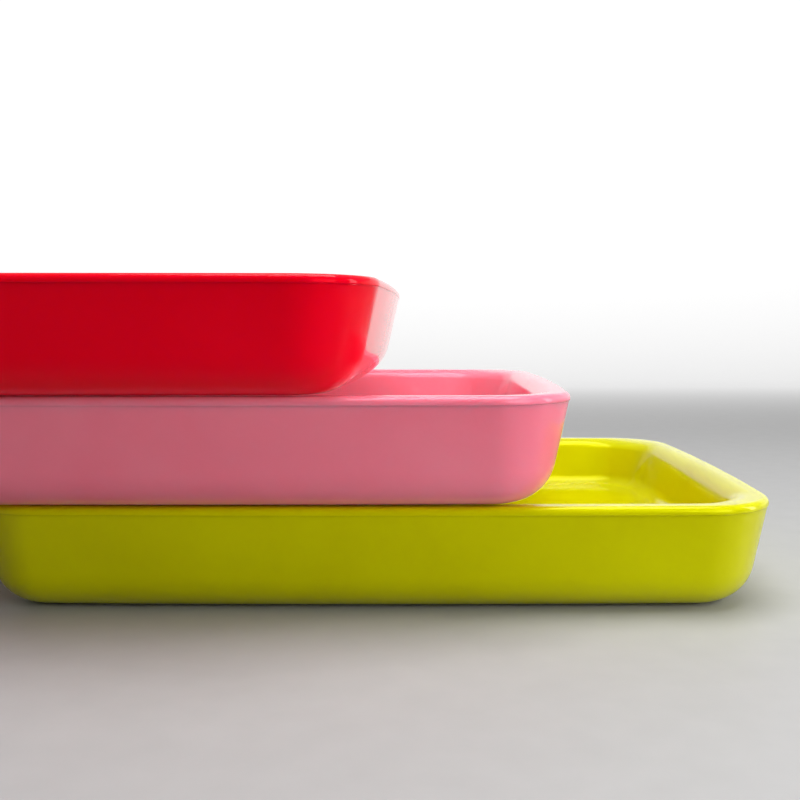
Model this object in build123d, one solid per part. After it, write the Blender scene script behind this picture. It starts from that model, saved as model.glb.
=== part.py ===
from build123d import *
import math
import os

# A stack of darkroom trays of one model. Millimetres, +Z up. The origin is the centre of the lowest
# tray's flat underside, with X along its length and the front of the stack towards -Y.
# Each tray is double-walled: an outer shell with a flat base, and a basin whose broad rim laps over
# the shell. A soft ring seals the lap, and screws from below hold the two mouldings together.
# Walls are drawn as a section of (inset from the tray's outline, height) and carried round the
# outline, whose sides, ends and corners are all arcs, so that every inset line keeps the same centres.

# ---- driving sizes ----
LENGTH = 380.0
WIDTH = 265.0
HEIGHT = 50.0
END_BOW = 5.0  # how far each end swells beyond its corners
SIDE_BOW = 3.0  # how far each long side swells beyond its corners
FLOOR_CORNER = 2.5  # corner radius of the flat middle of the floor
FLOOR_MARGIN = 1.9  # flat floor between the wall's curve and that middle

WALL = 2.4  # shell
WALL_LEAN = 12.5  # degrees from vertical
BASE_ROUND = 22.0

SKIN = 2.2  # basin
FLOOR_HEIGHT = 21.0  # the wetted floor's height over the base
BASIN_LEAN = 20.0  # degrees from vertical
BASIN_ROUND = 10.0
RIM_WIDTH = 13.0
RIM_ROUND = 3.0  # outer edge of the rim
RIM_SHOULDER = 9.0  # broad round from the rim's top into the basin
RIM_SKIN = 2.0
RIM_BAND = 4.0  # height of the rim's outer band, down to the lap line
RIM_STEP = 0.6  # how far the band stands proud of the shell
LIP = 2.0  # thickness of the band
LIP_ROUND = 0.5  # lower edge of the band

FIT_GAP = 0.3
LAP_DROP = 3.0  # depth of the collar at the shell's mouth
LAP_RIB = 1.5  # thickness of the rib inside the collar
SEAL_HEIGHT = 1.1
SEAL_GAP = 0.1

SCREW_INSET = 42.0
TOWER_RADIUS = 5.0
TOWER_HEIGHT = 10.0
TOWER_WEB = 2.5
BOSS_RADIUS = 3.6
SHANK_RADIUS = 1.45
PILOT_GAP = 0.05
WEB_GAP = 0.25
HEAD_RADIUS = 2.8
HEAD_HEIGHT = 2.0
HEAD_CHAMFER = 0.5
HEAD_GAP = 0.6
RECESS_LENGTH = 3.2
RECESS_WIDTH = 0.7
RECESS_DEPTH = 1.1
POINT = 1.2  # length of the cone at the screw's end
POINT_RADIUS = 0.4
SCREW_COVER = 0.5  # floor left over the end of the pilot hole, below the floor's underside
PLUG_HEIGHT = 2.8
PLUG_GAP = 0.1
PLUG_RECESS = 0.3
PLUG_CHAMFER = 0.4

FLOOR_RIB = 1.6
FLOOR_RIB_DROP = 5.0

STACK_GAP = 0.3
PINK_SHIFT = (-97.0, -22.0)  # pink tray over lime tray
RED_SHIFT = (-85.0, -24.0)  # red tray over pink tray

# ---- worked-out sizes ----
lean = math.radians(WALL_LEAN)
basin_lean = math.radians(BASIN_LEAN)
lap_z = HEIGHT - RIM_BAND
floor_z = FLOOR_HEIGHT
rim_under_z = HEIGHT - RIM_SKIN


def shell_outside(z):
    """Inset of the shell's outer face at height z, before the base is rounded."""
    return RIM_STEP + (lap_z - z) * math.tan(lean)


def shell_inside(z):
    return shell_outside(z) + WALL / math.cos(lean)


def basin_inside(z):
    """Inset of the basin's wetted wall at height z, before the floor is rounded."""
    return RIM_WIDTH + (HEIGHT - z) * math.tan(basin_lean)


def basin_outside(z):
    return basin_inside(z) - SKIN / math.cos(basin_lean)


def run_out(radius, lean_angle):
    """How far a round between a floor and a leaning wall reaches along the floor."""
    return radius * math.tan((math.pi / 2 - lean_angle) / 2)


shell_flat = shell_outside(0) + run_out(BASE_ROUND, lean)
basin_flat = basin_inside(floor_z) + run_out(BASIN_ROUND, basin_lean)
middle_inset = max(shell_flat, basin_flat) + FLOOR_MARGIN
corner_radius = middle_inset + FLOOR_CORNER

collar_inside = shell_inside(lap_z - LAP_DROP)
tongue_outside = LIP + FIT_GAP
tongue_top = rim_under_z - SEAL_HEIGHT
rib_outside = collar_inside + FIT_GAP
rib_inside = rib_outside + LAP_RIB
rib_bottom = lap_z - LAP_DROP + FIT_GAP

# The shoulder keeps the rim's thickness underneath, as far as the rib leaves room.
shoulder_room = basin_outside(rim_under_z) - rib_inside
under_shoulder = min(RIM_SHOULDER - RIM_SKIN, shoulder_room / run_out(1, basin_lean))

boss_bottom = TOWER_HEIGHT
pilot_radius = SHANK_RADIUS + PILOT_GAP
pilot_top = floor_z - SKIN - SCREW_COVER
head_seat = TOWER_HEIGHT - TOWER_WEB
well_radius = HEAD_RADIUS + HEAD_GAP


def bow_radius(half_length, bow):
    """Radius of the arc that swells by bow over its half length."""
    return (half_length**2 + bow**2) / (2 * bow)


def outline_arcs():
    """The outline's arcs as (centre, radius, first angle, sweep), anticlockwise in degrees."""
    end_radius = bow_radius(WIDTH / 2, END_BOW)
    side_radius = bow_radius(LENGTH / 2, SIDE_BOW)
    end_centre = LENGTH / 2 - end_radius  # on X
    side_centre = WIDTH / 2 - side_radius  # on Y
    # The corner's centre is corner_radius inside both the end's arc and the side's arc.
    to_end = end_radius - corner_radius
    to_side = side_radius - corner_radius
    apart = math.hypot(end_centre, side_centre)
    along = (to_side**2 - to_end**2 + apart**2) / (2 * apart)
    off = math.sqrt(to_side**2 - along**2)
    unit_x = end_centre / apart
    unit_y = -side_centre / apart
    corner_x = along * unit_x + off * unit_y
    corner_y = side_centre + along * unit_y - off * unit_x
    end_half = math.degrees(math.atan2(corner_y, corner_x - end_centre))
    side_half = math.degrees(math.atan2(corner_x, corner_y - side_centre))
    corner_sweep = 90 - end_half - side_half
    arcs = []
    for turn in (0, 180):
        way = 1 if turn == 0 else -1
        arcs.append(((way * end_centre, 0), end_radius, turn - end_half, 2 * end_half))
        first = turn + end_half
        arcs.append(((way * corner_x, way * corner_y), corner_radius, first, corner_sweep))
        first = turn + 90 - side_half
        arcs.append(((0, way * side_centre), side_radius, first, 2 * side_half))
        first = turn + 90 + side_half
        arcs.append(((-way * corner_x, way * corner_y), corner_radius, first, corner_sweep))
    return arcs


ARCS = outline_arcs()


def section(corners):
    """Closed face in the XZ plane from (inset, height, round) corners, with inset 0 at x = 0."""
    points = [Vector(-inset, 0, height) for inset, height, _ in corners]
    edges = []
    joints = []
    for i, (_, _, radius) in enumerate(corners):
        here = points[i]
        back = (points[i - 1] - here).normalized()
        ahead = (points[(i + 1) % len(points)] - here).normalized()
        if radius == 0:
            joints.append((here, None, here))
            continue
        half = math.acos(back.dot(ahead)) / 2
        middle = (back + ahead).normalized()
        cut = radius / math.tan(half)
        crest = here + middle * (radius / math.sin(half) - radius)
        joints.append((here + back * cut, crest, here + ahead * cut))
    for i, (first, crest, last) in enumerate(joints):
        if crest is not None:
            edges.append(ThreePointArc(first, crest, last))
        edges.append(Line(last, joints[(i + 1) % len(joints)][0]))
    return Face(Wire(edges))


def carried_round(face):
    """The section carried round the tray's outline, one exact turned piece for each arc."""
    pieces = []
    for (centre_x, centre_y), radius, first, sweep in ARCS:
        piece = revolve(Pos(radius, 0, 0) * face, Axis.Z, sweep)
        pieces.append(Pos(centre_x, centre_y, 0) * Rot(0, 0, first) * piece)
    return pieces


def middle_slab(bottom, top):
    """The flat middle of a floor, inside the ring that carries the wall."""
    edges = []
    for (centre_x, centre_y), radius, first, sweep in ARCS:
        arc_radius = radius - middle_inset
        edges.append(Pos(centre_x, centre_y, bottom) * CenterArc((0, 0, 0), arc_radius, first, sweep))
    return extrude(Face(Wire(edges)), top - bottom, dir=(0, 0, 1))


def one_solid(pieces):
    whole = pieces[0]
    for piece in pieces[1:]:
        whole = whole + piece
    return whole


def pillar(radius, bottom, top, place=(0, 0)):
    return Pos(place[0], place[1], bottom) * extrude(Circle(radius), top - bottom)


def screw_places():
    """Four corners and the middle of each side."""
    far_x = LENGTH / 2 - SCREW_INSET
    far_y = WIDTH / 2 - SCREW_INSET
    return [(x, y) for x in (-far_x, 0, far_x) for y in (-far_y, 0, far_y) if (x, y) != (0, 0)]


def make_shell():
    """Outer moulding: leaning walls, broad base round, collar and tongue at the mouth, screw towers."""
    wall = section(
        [
            (RIM_STEP, lap_z, 0),
            (shell_outside(0), 0, BASE_ROUND),
            (middle_inset, 0, 0),
            (middle_inset, WALL, 0),
            (shell_inside(WALL), WALL, BASE_ROUND - WALL),
            (collar_inside, lap_z - LAP_DROP, 0),
            (collar_inside, tongue_top, 0),
            (tongue_outside, tongue_top, 0),
            (tongue_outside, lap_z, 0),
        ]
    )
    shell = one_solid(carried_round(wall) + [middle_slab(0, WALL)])
    for place in screw_places():
        shell = shell + pillar(TOWER_RADIUS, 0, TOWER_HEIGHT, place)
    for place in screw_places():
        shell = shell - pillar(well_radius, 0, head_seat, place)
        shell = shell - pillar(SHANK_RADIUS + WEB_GAP, head_seat, TOWER_HEIGHT, place)
    return shell


def make_basin():
    """Inner moulding: rim with its band and groove, wetted walls and floor, ribs and screw bosses."""
    wall = section(
        [
            (0, lap_z, LIP_ROUND),
            (0, HEIGHT, RIM_ROUND),
            (basin_inside(HEIGHT), HEIGHT, RIM_SHOULDER),
            (basin_inside(floor_z), floor_z, BASIN_ROUND),
            (middle_inset, floor_z, 0),
            (middle_inset, floor_z - SKIN, 0),
            (basin_outside(floor_z - SKIN), floor_z - SKIN, BASIN_ROUND + SKIN),
            (basin_outside(rim_under_z), rim_under_z, under_shoulder),
            (rib_inside, rim_under_z, 0),
            (rib_inside, rib_bottom, 0),
            (rib_outside, rib_bottom, 0),
            (rib_outside, rim_under_z, 0),
            (LIP, rim_under_z, 0),
            (LIP, lap_z, 0),
        ]
    )
    basin = one_solid(carried_round(wall) + [middle_slab(floor_z - SKIN, floor_z)])
    under = floor_z - SKIN
    far_x = LENGTH / 2 - SCREW_INSET
    far_y = WIDTH / 2 - SCREW_INSET
    rib_z = under - FLOOR_RIB_DROP / 2
    for y in (-far_y, 0, far_y):
        basin = basin + Pos(0, y, rib_z) * Box(2 * far_x, FLOOR_RIB, FLOOR_RIB_DROP)
    for x in (-far_x, 0, far_x):
        basin = basin + Pos(x, 0, rib_z) * Box(FLOOR_RIB, 2 * far_y, FLOOR_RIB_DROP)
    for place in screw_places():
        basin = basin + pillar(BOSS_RADIUS, boss_bottom, under, place)
    for place in screw_places():
        basin = basin - pillar(pilot_radius, boss_bottom, pilot_top, place)
    return basin


def make_seal():
    """Soft ring in the groove, between the shell's tongue and the underside of the rim."""
    outside = LIP + SEAL_GAP
    inside = rib_outside - SEAL_GAP
    ring = section(
        [
            (outside, rim_under_z, 0),
            (inside, rim_under_z, 0),
            (inside, tongue_top, 0),
            (outside, tongue_top, 0),
        ]
    )
    return one_solid(carried_round(ring))


def make_screw():
    """Self-tapping screw, head down, from its seat under the web to its point in the boss."""
    tip = pilot_top - SCREW_COVER
    head = pillar(HEAD_RADIUS, head_seat - HEAD_HEIGHT, head_seat)
    head = chamfer(head.faces().sort_by(Axis.Z)[0].edges(), HEAD_CHAMFER)
    shank = pillar(SHANK_RADIUS, head_seat, tip - POINT)
    point = Pos(0, 0, tip - POINT / 2) * Cone(SHANK_RADIUS, POINT_RADIUS, POINT)
    recess_z = head_seat - HEAD_HEIGHT + RECESS_DEPTH / 2
    bar = Box(RECESS_LENGTH, RECESS_WIDTH, RECESS_DEPTH)
    recess = Pos(0, 0, recess_z) * (bar + Rot(0, 0, 90) * bar)
    return head + shank + point - recess


def make_plug():
    """Soft plug pressed into the screw's well, just inside the base."""
    plug = pillar(well_radius - PLUG_GAP, PLUG_RECESS, PLUG_RECESS + PLUG_HEIGHT)
    ends = plug.faces().sort_by(Axis.Z)
    return chamfer(ends[0].edges() + ends[-1].edges(), PLUG_CHAMFER)


def at_screws(piece):
    return Compound(children=[Pos(x, y, 0) * piece.solid() for x, y in screw_places()])


def tray_places():
    """Where the origin of each tray lies in the stack, from the lowest up."""
    pitch = HEIGHT + STACK_GAP
    pink = (PINK_SHIFT[0], PINK_SHIFT[1], pitch)
    red = (pink[0] + RED_SHIFT[0], pink[1] + RED_SHIFT[1], 2 * pitch)
    return {"lime": (0, 0, 0), "pink": pink, "red": red}


pieces = {
    "basin": make_basin().solid(),
    "shell": make_shell().solid(),
    "seal": make_seal().solid(),
    "screws": at_screws(make_screw()),
    "plugs": at_screws(make_plug()),
}

os.makedirs("parts", exist_ok=True)
for colour, place in tray_places().items():
    for name, piece in pieces.items():
        export_step(piece.moved(Location(place)), f"parts/{colour}_{name}.step")
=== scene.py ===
import math
import bpy
from mathutils import Matrix, Vector


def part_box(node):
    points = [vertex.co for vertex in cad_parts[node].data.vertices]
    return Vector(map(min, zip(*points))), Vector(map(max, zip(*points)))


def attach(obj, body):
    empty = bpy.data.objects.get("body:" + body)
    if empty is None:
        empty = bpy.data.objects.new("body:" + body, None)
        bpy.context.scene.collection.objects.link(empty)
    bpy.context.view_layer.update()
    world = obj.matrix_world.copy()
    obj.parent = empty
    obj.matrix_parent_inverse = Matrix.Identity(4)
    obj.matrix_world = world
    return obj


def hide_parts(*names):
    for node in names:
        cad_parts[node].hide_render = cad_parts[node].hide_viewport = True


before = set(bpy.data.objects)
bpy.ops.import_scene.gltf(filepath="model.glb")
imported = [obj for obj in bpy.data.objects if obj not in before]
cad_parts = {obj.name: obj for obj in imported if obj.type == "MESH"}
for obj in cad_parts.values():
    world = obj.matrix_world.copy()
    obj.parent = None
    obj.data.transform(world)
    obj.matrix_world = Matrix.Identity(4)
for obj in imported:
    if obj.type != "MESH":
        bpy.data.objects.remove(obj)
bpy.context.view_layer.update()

MM = 0.001

# ---- The stack --------------------------------------------------------------------------------
# Trays of one model stand one on another, each stepped forward and to the left of the one below.
# Each is two plastic mouldings of one colour. Where a tray stands comes from its basin's box.
TRAYS = ("lime", "pink", "red")
HEIGHT = 50 * MM


def tray_place(tray):
    """Centre of a tray's underside, in the shared frame."""
    low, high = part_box(f"{tray}_basin")
    return Vector(((low.x + high.x) / 2, (low.y + high.y) / 2, high.z - HEIGHT))


# ---- Outer shells -----------------------------------------------------------------------------
# The outside moulding of each tray: bowed walls that lean out, a broad round and a flat base with
# wells for the screws. Injection moulded in solid colour and polished; the basin's rim laps over it.
# Only its faces are modelled here, not the tongue that enters the rim.
LENGTH = 380 * MM
WIDTH = 265 * MM
END_BOW = 5 * MM
SIDE_BOW = 3 * MM
CORNER = 35 * MM
WALL = 2.4 * MM
WALL_LEAN = math.radians(12.5)
BASE_ROUND = 22 * MM
RIM_BAND = 4 * MM
RIM_STEP = 0.6 * MM
MOUTH = HEIGHT - RIM_BAND
SLAB = 0.5 * MM  # the ring of wall that the shell's section is walked from
FLAT_INSET = 32 * MM  # both floors are flat from here inwards
SCREW_INSET = 42 * MM
WELL_RADIUS = 3.4 * MM
WELL_DEPTH = 7.5 * MM
TOWER_WALL = 1.6 * MM
TOWER_TOP = 2.5 * MM
TOWER_FOOT = 0.5 * MM  # height inside the base at which a tower starts
CUT_PAST = 1 * MM  # how far below the base a well's cut starts
CORNER_STEPS = 24
SIDE_CUTS = 72
ROUND_STEPS = 12
POST_SIDES = 40
SMOOTH_ANGLE = math.radians(40)


def rounded_path(corners):
    """Points of a section from (inset, height, round) corners, with each round in short chords."""
    points = [Vector(corners[0][:2])]
    for before, corner, after in zip(corners, corners[1:], corners[2:]):
        here = Vector(corner[:2])
        radius = corner[2]
        if radius == 0:
            points.append(here)
            continue
        back = (Vector(before[:2]) - here).normalized()
        ahead = (Vector(after[:2]) - here).normalized()
        half = back.angle(ahead) / 2
        centre = here + (back + ahead).normalized() * radius / math.sin(half)
        cut = radius / math.tan(half)
        first = here + back * cut - centre
        last = here + ahead * cut - centre
        points += [centre + first.slerp(last, k / ROUND_STEPS) * radius for k in range(ROUND_STEPS + 1)]
    points.append(Vector(corners[-1][:2]))
    return points


def outline_plate(name, inset, height):
    """A flat face with the tray's outline: a rounded rectangle with bowed sides."""
    bpy.ops.object.select_all(action="DESELECT")
    bpy.ops.mesh.primitive_plane_add(size=1, location=(0, 0, height))
    plate = bpy.context.object
    plate.name = name
    plate.data.name = name
    plate.scale = (LENGTH - 2 * inset, WIDTH - 2 * inset, 1)
    bpy.ops.object.transform_apply(location=True, rotation=False, scale=True)
    bpy.ops.object.mode_set(mode="EDIT")
    bpy.ops.mesh.select_all(action="SELECT")
    bpy.ops.mesh.bevel(offset=CORNER - inset, segments=CORNER_STEPS, affect="VERTICES")
    bpy.ops.mesh.select_all(action="DESELECT")
    bpy.ops.mesh.select_mode(type="EDGE")
    bpy.ops.object.mode_set(mode="OBJECT")
    for edge in plate.data.edges:
        ends = [plate.data.vertices[i].co for i in edge.vertices]
        edge.select = (ends[0] - ends[1]).length > CORNER
    bpy.ops.object.mode_set(mode="EDIT")
    bpy.ops.mesh.subdivide(number_cuts=SIDE_CUTS)
    bpy.ops.object.mode_set(mode="OBJECT")
    for vertex in plate.data.vertices:
        x, y = vertex.co.x, vertex.co.y
        vertex.co.x = x * (1 - END_BOW / (LENGTH / 2) * (y / (WIDTH / 2)) ** 2)
        vertex.co.y = y * (1 - SIDE_BOW / (WIDTH / 2) * (x / (LENGTH / 2)) ** 2)
    return plate


def thicken(plate, height):
    """Draws the plate up into a closed slab, ready to be walked along a section from both faces."""
    bpy.ops.object.mode_set(mode="EDIT")
    bpy.ops.mesh.select_mode(type="FACE")
    bpy.ops.mesh.select_all(action="SELECT")
    bpy.ops.mesh.extrude_region_move(TRANSFORM_OT_translate={"value": (0, 0, height)})
    bpy.ops.mesh.select_all(action="SELECT")
    bpy.ops.mesh.normals_make_consistent(inside=False)
    bpy.ops.object.mode_set(mode="OBJECT")


def walk(plate, facing, path):
    """Insets the flat face that faces up (1) or down (-1) again and again, along the section's points."""
    for face in plate.data.polygons:
        face.select = face.normal.z * facing > 0.99 and len(face.vertices) > 4
    bpy.ops.object.mode_set(mode="EDIT")
    bpy.ops.mesh.select_mode(type="FACE")
    for here, there in zip(path, path[1:]):
        step = there - here
        bpy.ops.mesh.inset(thickness=max(step.x, 0), depth=step.y * facing, use_even_offset=True)
    bpy.ops.object.mode_set(mode="OBJECT")


def smooth(piece):
    """Smooth shading that stays flat on the flats."""
    bpy.ops.object.select_all(action="DESELECT")
    piece.select_set(True)
    bpy.context.view_layer.objects.active = piece
    bpy.ops.object.shade_smooth_by_angle(angle=SMOOTH_ANGLE)
    bpy.ops.object.modifier_add(type="WEIGHTED_NORMAL")
    piece.modifiers[-1].keep_sharp = True
    bpy.ops.object.modifier_apply(modifier=piece.modifiers[-1].name)


def shell_outside(z):
    """Inset of the shell's outer face at height z, before the base is rounded."""
    return RIM_STEP + (MOUTH - z) * math.tan(WALL_LEAN)


def shell_inside(z):
    return shell_outside(z) + WALL / math.cos(WALL_LEAN)


shell = outline_plate("shell_pattern", RIM_STEP, MOUTH - SLAB)
thicken(shell, SLAB)
walk(shell, -1, rounded_path([
    (RIM_STEP, MOUTH - SLAB, 0),
    (shell_outside(0), 0, BASE_ROUND),
    (FLAT_INSET, 0, 0),
]))
walk(shell, 1, rounded_path([
    (RIM_STEP, MOUTH, 0),
    (shell_inside(MOUTH), MOUTH, 0),
    (shell_inside(WALL), WALL, BASE_ROUND - WALL),
    (FLAT_INSET, WALL, 0),
]))

screw_x = LENGTH / 2 - SCREW_INSET
screw_y = WIDTH / 2 - SCREW_INSET
SCREWS = [(x, y) for x in (-screw_x, 0, screw_x) for y in (-screw_y, 0, screw_y) if x or y]


def posts(name, radius, low, high):
    """One upright post at each screw, as one mesh."""
    bpy.ops.object.select_all(action="DESELECT")
    made = []
    for x, y in SCREWS:
        middle = (x, y, (low + high) / 2)
        bpy.ops.mesh.primitive_cylinder_add(
            vertices=POST_SIDES, radius=radius, depth=high - low, location=middle
        )
        made.append(bpy.context.object)
    for post in made:
        post.select_set(True)
    bpy.context.view_layer.objects.active = made[0]
    bpy.ops.object.join()
    bpy.ops.object.transform_apply(location=True, rotation=True, scale=True)
    made[0].name = name
    return made[0]


towers = posts("tower_pattern", WELL_RADIUS + TOWER_WALL, TOWER_FOOT, WELL_DEPTH + TOWER_TOP)
wells = posts("well_pattern", WELL_RADIUS, -CUT_PAST, WELL_DEPTH)
for tool, operation in ((towers, "UNION"), (wells, "DIFFERENCE")):
    bpy.ops.object.select_all(action="DESELECT")
    shell.select_set(True)
    bpy.context.view_layer.objects.active = shell
    bpy.ops.object.modifier_add(type="BOOLEAN")
    shell.modifiers[-1].operation = operation
    shell.modifiers[-1].object = tool
    shell.modifiers[-1].solver = "EXACT"
    bpy.ops.object.modifier_apply(modifier=shell.modifiers[-1].name)
    bpy.data.objects.remove(tool)
smooth(shell)


def principled(name):
    """A new material with an empty board: its nodes, its links, its shader and its Object coordinates."""
    material = bpy.data.materials.new(name)
    material.use_nodes = True
    nodes = material.node_tree.nodes
    where = nodes.new("ShaderNodeTexCoord").outputs["Object"]
    return material, nodes, material.node_tree.links, nodes["Principled BSDF"], where


def noise(nodes, links, where, scale, detail, distortion=0):
    """A cloudy pattern, with its scale in features to a metre."""
    cloud = nodes.new("ShaderNodeTexNoise")
    cloud.inputs["Scale"].default_value = scale
    cloud.inputs["Detail"].default_value = detail
    cloud.inputs["Distortion"].default_value = distortion
    links.new(where, cloud.inputs["Vector"])
    return cloud.outputs["Fac"]


def stretched(nodes, links, value, low=0, high=1, to_low=0, to_high=1, ease="LINEAR"):
    """A value whose stretch from low to high is laid over to_low to to_high, and held beyond them."""
    spread = nodes.new("ShaderNodeMapRange")
    spread.interpolation_type = ease
    spread.inputs["From Min"].default_value = low
    spread.inputs["From Max"].default_value = high
    spread.inputs["To Min"].default_value = to_low
    spread.inputs["To Max"].default_value = to_high
    links.new(value, spread.inputs["Value"])
    return spread.outputs["Result"]


def two_tone(nodes, links, shader, share, first, second):
    """Colours the shader between two colours, by a pattern."""
    tone = nodes.new("ShaderNodeMix")
    tone.data_type = "RGBA"
    tone.inputs["A"].default_value = (*first, 1)
    tone.inputs["B"].default_value = (*second, 1)
    links.new(share, tone.inputs["Factor"])
    links.new(tone.outputs["Result"], shader.inputs["Base Color"])


def relief(nodes, links, shader, height, strength, depth):
    """Gives the shader a fine relief by a pattern."""
    bump = nodes.new("ShaderNodeBump")
    bump.inputs["Strength"].default_value = strength
    bump.inputs["Distance"].default_value = depth
    links.new(height, bump.inputs["Height"])
    links.new(bump.outputs["Normal"], shader.inputs["Normal"])


PLASTICS = {
    # body colour, deeper streak colour, tint of the gloss seen straight on, scattering depth
    "lime": ((0.58, 0.58, 0.0005), (0.53, 0.52, 0.0005), (0.9, 0.9, 0.02), (4 * MM, 4 * MM, 1 * MM)),
    "pink": ((0.92, 0.23, 0.31), (0.90, 0.19, 0.27), (1.0, 0.5, 0.6), (5 * MM, 2 * MM, 2.5 * MM)),
    "red": ((0.80, 0.001, 0.016), (0.75, 0.0, 0.012), (1.0, 0.02, 0.05), (4 * MM, 0.5 * MM, 0.5 * MM)),
}


def moulded_plastic(tray):
    """Polished solid-colour plastic: faint pigment flow, handling smudges and hair scratches."""
    body, deep, gloss, depth = PLASTICS[tray]
    material, nodes, links, shader, where = principled(f"{tray}_moulded_plastic")
    centred = nodes.new("ShaderNodeMapping")
    centred.inputs["Location"].default_value = -tray_place(tray)
    links.new(where, centred.inputs["Vector"])
    from_tray = centred.outputs["Vector"]

    flow = noise(nodes, links, from_tray, scale=9, detail=4, distortion=1.2)
    streaks = stretched(nodes, links, flow, low=0.4, high=0.75)
    two_tone(nodes, links, shader, streaks, body, deep)

    smudges = noise(nodes, links, from_tray, scale=38, detail=6)
    rough = stretched(nodes, links, smudges, low=0.35, high=0.8, to_low=0.03, to_high=0.12)
    wiped = nodes.new("ShaderNodeMapping")
    wiped.inputs["Rotation"].default_value = (0.2, 0.1, 0.35)
    wiped.inputs["Scale"].default_value = (5, 420, 420)
    links.new(where, wiped.inputs["Vector"])
    hairs = noise(nodes, links, wiped.outputs["Vector"], scale=3, detail=3)
    scratches = stretched(nodes, links, hairs, low=0.62, high=0.8, to_high=0.14)
    gloss_loss = nodes.new("ShaderNodeMath")
    links.new(rough, gloss_loss.inputs[0])
    links.new(scratches, gloss_loss.inputs[1])
    links.new(gloss_loss.outputs["Value"], shader.inputs["Roughness"])

    waves = noise(nodes, links, from_tray, scale=14, detail=1)
    relief(nodes, links, shader, waves, strength=0.02, depth=0.5 * MM)

    shader.inputs["Specular Tint"].default_value = (*gloss, 1)
    shader.inputs["IOR"].default_value = 1.5
    shader.inputs["Subsurface Weight"].default_value = 0.9
    shader.inputs["Subsurface Radius"].default_value = depth
    shader.inputs["Subsurface Scale"].default_value = 1
    return material


finishes = {tray: moulded_plastic(tray) for tray in TRAYS}


def cast(pattern, tray, piece):
    """One tray's own copy of a moulding, in its place, colour and body."""
    made = pattern.copy()
    made.data = pattern.data.copy()
    made.name = f"{tray}_{piece}_moulding"
    made.data.name = made.name
    bpy.context.scene.collection.objects.link(made)
    made.data.transform(Matrix.Translation(tray_place(tray)))
    made.data.materials.clear()
    made.data.materials.append(finishes[tray])
    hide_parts(f"{tray}_{piece}")
    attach(made, f"{tray}_tray")


for tray in TRAYS:
    cast(shell, tray, "shell")
bpy.data.objects.remove(shell)

# ---- Basins -----------------------------------------------------------------------------------
# The inside moulding: a broad rim with a band that laps over the shell, a soft shoulder, sloping
# wetted walls and a raised flat floor. Moulded in the shell's colour and held by screws from below.
# Only its faces are modelled here, not the groove, the ribs and the screw bosses underneath.
SKIN = 2.2 * MM
FLOOR_HEIGHT = 21 * MM
BASIN_LEAN = math.radians(20)
BASIN_ROUND = 10 * MM
RIM_WIDTH = 13 * MM
RIM_ROUND = 3 * MM
RIM_SHOULDER = 9 * MM
RIM_SKIN = 2 * MM
LIP = 2 * MM
LIP_ROUND = 0.5 * MM
SOFTER = 16 * MM  # how much rounder the bath's corners are than the rim's
SOFT_FROM = 5 * MM  # inset at which the corners start to soften
SOFT_TO = 16 * MM  # inset from which they are fully softened


def basin_inside(z):
    """Inset of the wetted wall at height z, before the floor is rounded."""
    return RIM_WIDTH + (HEIGHT - z) * math.tan(BASIN_LEAN)


def basin_outside(z):
    return basin_inside(z) - SKIN / math.cos(BASIN_LEAN)


def soften_corners(piece):
    """Draws the corners in, the more the further inside, until the bath is SOFTER rounder than the rim."""
    for vertex in piece.data.vertices:
        x, y = vertex.co.x, vertex.co.y
        from_end = LENGTH / 2 - END_BOW * (y / (WIDTH / 2)) ** 2 - abs(x)
        from_side = WIDTH / 2 - SIDE_BOW * (x / (LENGTH / 2)) ** 2 - abs(y)
        inset = min(from_end, from_side)
        if max(from_end, from_side) < CORNER:
            inset = CORNER - math.hypot(CORNER - from_end, CORNER - from_side)
        share = min(max((inset - SOFT_FROM) / (SOFT_TO - SOFT_FROM), 0), 1)
        centre = CORNER + SOFTER * share * share * (3 - 2 * share)
        if max(from_end, from_side) < centre:
            reach = math.hypot(centre - from_end, centre - from_side)
            pull = (centre - inset) / reach
            vertex.co.x -= math.copysign((centre - from_end) * (1 - pull), x)
            vertex.co.y -= math.copysign((centre - from_side) * (1 - pull), y)


basin = outline_plate("basin_pattern", 0, MOUTH + LIP_ROUND)
thicken(basin, HEIGHT - RIM_ROUND - MOUTH - LIP_ROUND)
walk(basin, 1, rounded_path([
    (0, HEIGHT - RIM_ROUND, 0),
    (0, HEIGHT, RIM_ROUND),
    (basin_inside(HEIGHT), HEIGHT, RIM_SHOULDER),
    (basin_inside(FLOOR_HEIGHT), FLOOR_HEIGHT, BASIN_ROUND),
    (FLAT_INSET, FLOOR_HEIGHT, 0),
])[1:])
walk(basin, -1, rounded_path([
    (0, MOUTH + LIP_ROUND, 0),
    (0, MOUTH, LIP_ROUND),
    (LIP, MOUTH, 0),
    (LIP, HEIGHT - RIM_SKIN, 0),
    (basin_outside(HEIGHT - RIM_SKIN), HEIGHT - RIM_SKIN, RIM_SHOULDER - RIM_SKIN),
    (basin_outside(FLOOR_HEIGHT - SKIN), FLOOR_HEIGHT - SKIN, BASIN_ROUND + SKIN),
    (FLAT_INSET, FLOOR_HEIGHT - SKIN, 0),
])[1:])
soften_corners(basin)
smooth(basin)
for tray in TRAYS:
    cast(basin, tray, "basin")
bpy.data.objects.remove(basin)

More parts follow.
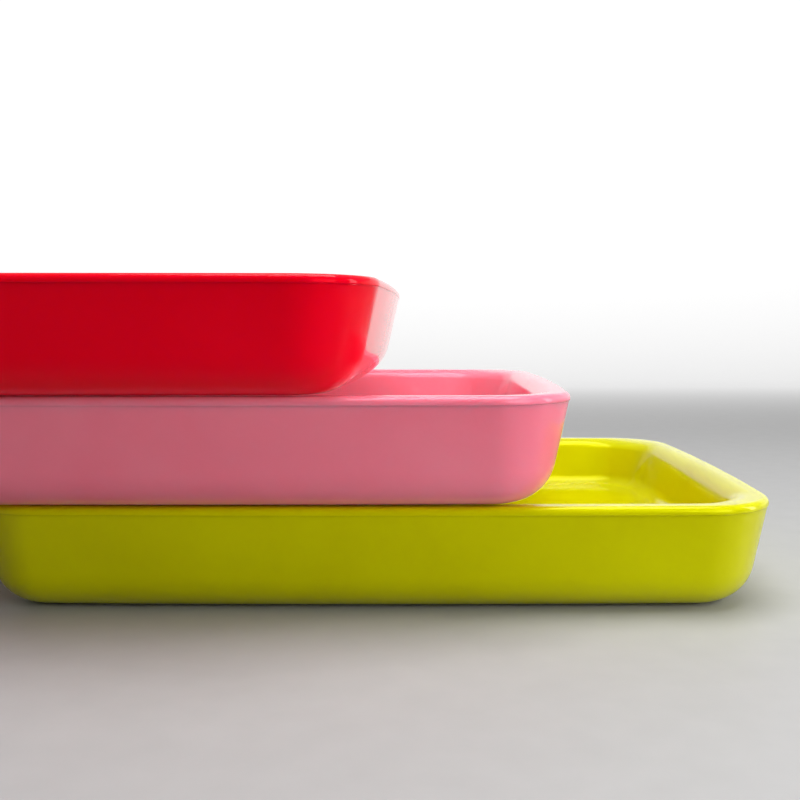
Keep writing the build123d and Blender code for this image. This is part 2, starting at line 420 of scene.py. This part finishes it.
# ---- Seals ------------------------------------------------------------------------------------
# A soft silicone ring lies under the rim, at the lap, and keeps the liquid out of the space between
# the two mouldings. Extruded, cut and joined into a ring; dull, a little dusty and fine-grained.
rubber, nodes, links, shader, where = principled("seal_silicone")
dust = noise(nodes, links, where, scale=220, detail=8)
two_tone(nodes, links, shader, dust, (0.66, 0.65, 0.61), (0.80, 0.79, 0.76))
relief(nodes, links, shader, dust, strength=0.3, depth=0.1 * MM)
shader.inputs["Roughness"].default_value = 0.62
shader.inputs["Subsurface Weight"].default_value = 0.2
shader.inputs["Subsurface Radius"].default_value = (1 * MM, 1 * MM, 1 * MM)
shader.inputs["Subsurface Scale"].default_value = 1


def finish_node(node, material):
    """Gives a node that stays as it came its finish."""
    bpy.data.objects[node].data.materials.clear()
    bpy.data.objects[node].data.materials.append(material)


for tray in TRAYS:
    finish_node(f"{tray}_seal", rubber)

# ---- Screws -----------------------------------------------------------------------------------
# Eight self-tapping screws hold each tray's mouldings together from below. Cold-headed steel with
# a bright plating: rolled streaks, small pits, and dull places where the driver has rubbed.
steel, nodes, links, shader, where = principled("plated_steel")
drawn = nodes.new("ShaderNodeMapping")
drawn.inputs["Scale"].default_value = (1, 1, 9)
links.new(where, drawn.inputs["Vector"])
rolled = noise(nodes, links, drawn.outputs["Vector"], scale=260, detail=6)
two_tone(nodes, links, shader, rolled, (0.48, 0.48, 0.46), (0.72, 0.72, 0.71))
worn = stretched(nodes, links, rolled, to_low=0.18, to_high=0.42)
links.new(worn, shader.inputs["Roughness"])
relief(nodes, links, shader, rolled, strength=0.25, depth=0.05 * MM)
shader.inputs["Metallic"].default_value = 1
for tray in TRAYS:
    finish_node(f"{tray}_screws", steel)

# ---- Plugs ------------------------------------------------------------------------------------
# Black rubber plugs pushed into the screw wells under each tray keep wet hands and benches off the
# steel. Moulded, with a matt skin that has picked up pale scuffs and dust.
plug, nodes, links, shader, where = principled("plug_rubber_skin")
scuffs = noise(nodes, links, where, scale=300, detail=7, distortion=0.8)
paler = stretched(nodes, links, scuffs, low=0.5, high=0.8)
two_tone(nodes, links, shader, paler, (0.016, 0.016, 0.017), (0.09, 0.088, 0.085))
relief(nodes, links, shader, scuffs, strength=0.35, depth=0.08 * MM)
shader.inputs["Roughness"].default_value = 0.7
for tray in TRAYS:
    finish_node(f"{tray}_plugs", plug)

# ---- Floor, light and camera ------------------------------------------------------------------
# A pale table top that runs back into a glowing white sweep, as in a small product studio: the
# trays are lit from behind, above and the right, and the camera's side is left dim.
TABLE_SIZE = (24, 20, 1)
TABLE_MIDDLE = -7
TABLE_DROP = 0.1 * MM  # the table lies this far under the lowest tray
TABLE_STRIPS = 200
SWEEP_FROM = 1.5
SWEEP_STEEPNESS = 0.9
bpy.ops.object.select_all(action="DESELECT")
bpy.ops.mesh.primitive_grid_add(
    x_subdivisions=1, y_subdivisions=TABLE_STRIPS, size=1, location=(0, TABLE_MIDDLE, -TABLE_DROP)
)
floor = bpy.context.object
floor.name = "floor"
floor.scale = TABLE_SIZE
bpy.ops.object.transform_apply(location=True, rotation=False, scale=True)
for vertex in floor.data.vertices:
    beyond = max(0, vertex.co.y - SWEEP_FROM)
    vertex.co.z += beyond ** 2 * SWEEP_STEEPNESS
bpy.ops.object.shade_smooth()
pale, nodes, links, shader, where = principled("pale_sweep")
grain = noise(nodes, links, where, scale=60, detail=5)
two_tone(nodes, links, shader, grain, (0.34, 0.34, 0.34), (0.38, 0.38, 0.38))
shader.inputs["Roughness"].default_value = 0.6
parts = nodes.new("ShaderNodeSeparateXYZ")
links.new(where, parts.inputs["Vector"])
glow = stretched(nodes, links, parts.outputs["Y"], low=0.5, high=2.4, to_high=0.92, ease="SMOOTHSTEP")
links.new(glow, shader.inputs["Emission Strength"])
shader.inputs["Emission Color"].default_value = (1, 1, 1, 1)
floor.data.materials.append(pale)

world = bpy.data.worlds.new("studio")
bpy.context.scene.world = world
world.use_nodes = True
nodes = world.node_tree.nodes
links = world.node_tree.links
parts = nodes.new("ShaderNodeSeparateXYZ")
links.new(nodes.new("ShaderNodeTexCoord").outputs["Generated"], parts.inputs["Vector"])
fade = stretched(nodes, links, parts.outputs["Y"], -0.9, 0.1, 0.2, 0.42, ease="SMOOTHSTEP")
nodes["Background"].inputs["Color"].default_value = (1, 1, 1, 1)
links.new(fade, nodes["Background"].inputs["Strength"])


def soft_light(name, place, aim, width, height, power):
    """A flat rectangular lamp at a place, turned towards its aim; sizes in metres, power in watts."""
    lamp = bpy.data.lights.new(name, "AREA")
    lamp.shape = "RECTANGLE"
    lamp.size = width
    lamp.size_y = height
    lamp.energy = power
    made = bpy.data.objects.new(name, lamp)
    bpy.context.scene.collection.objects.link(made)
    made.location = place
    made.rotation_euler = (Vector(aim) - Vector(place)).to_track_quat("-Z", "Y").to_euler()
    made.visible_camera = False


soft_light("overhead", (0.1, -0.15, 1.1), (0, 0, 0.05), 0.9, 0.7, 13)
soft_light("side_window", (1.3, -0.1, 0.45), (0, 0, 0.1), 0.25, 0.8, 5)
soft_light("low_fill", (0.5, -0.6, 0.28), (0.1, -0.1, 0.03), 0.4, 0.4, 2.8)

EYE_FROM_END = 0.159  # in from the lowest tray's right end
EYE_FROM_FRONT = 0.4059  # out from its front
EYE_HEIGHT = 0.1287
lime_low, lime_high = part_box("lime_basin")
camera = bpy.data.cameras.new("camera")
camera.sensor_width = 36
camera.lens = 41.6
camera.shift_x = -0.05
camera.shift_y = -0.0895
camera.clip_start = 0.01
eye = bpy.data.objects.new("camera", camera)
bpy.context.scene.collection.objects.link(eye)
eye.location = (lime_high.x - EYE_FROM_END, lime_low.y - EYE_FROM_FRONT, EYE_HEIGHT)
eye.rotation_euler = (math.radians(90), 0, 0)
bpy.context.scene.camera = eye
bpy.context.scene.view_settings.view_transform = "Standard"
